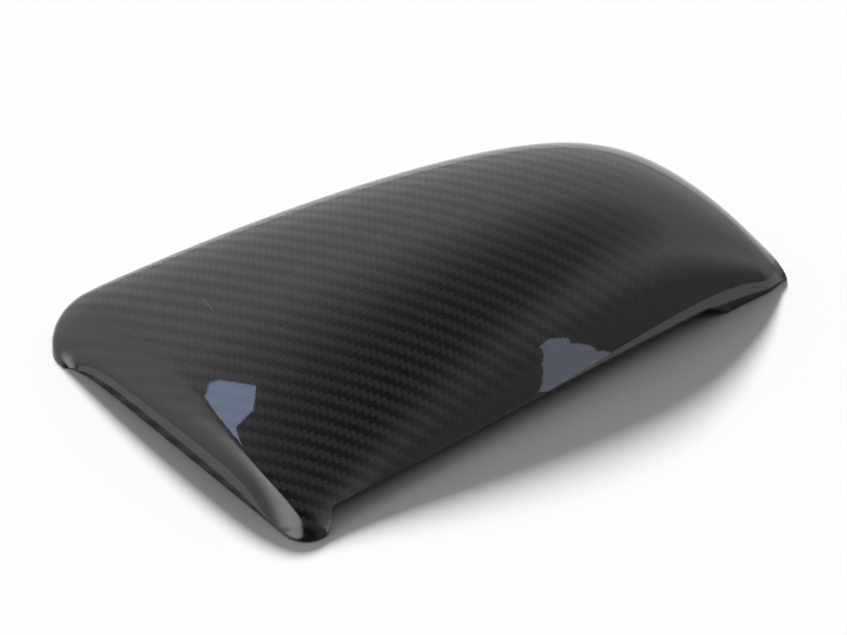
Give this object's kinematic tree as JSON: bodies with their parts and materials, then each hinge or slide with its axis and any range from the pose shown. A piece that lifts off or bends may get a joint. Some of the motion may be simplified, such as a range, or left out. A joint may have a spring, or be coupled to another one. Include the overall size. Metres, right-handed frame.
{
  "type": "wing mirror cover",
  "caption": "Curved shell that caps the outside of a car's wing mirror housing, moulded in twill-weave carbon-fibre laminate with a clear gloss coat and an open underside.",
  "frame": {"origin": "middle of the cover's bounding box, at the height of the feet and the far rim that it rests on", "axes": "+X from the straight end to the narrow end, +Y from the front rim to the far rim, +Z out of the outer skin's crown"},
  "size_m": [0.2502, 0.1618, 0.0428],
  "materials": {
    "carbon_laminate": "clear-coated twill weave"
  },
  "bodies": {
    "root": {"cover_shell": "carbon_laminate"}
  },
  "joints": []
}
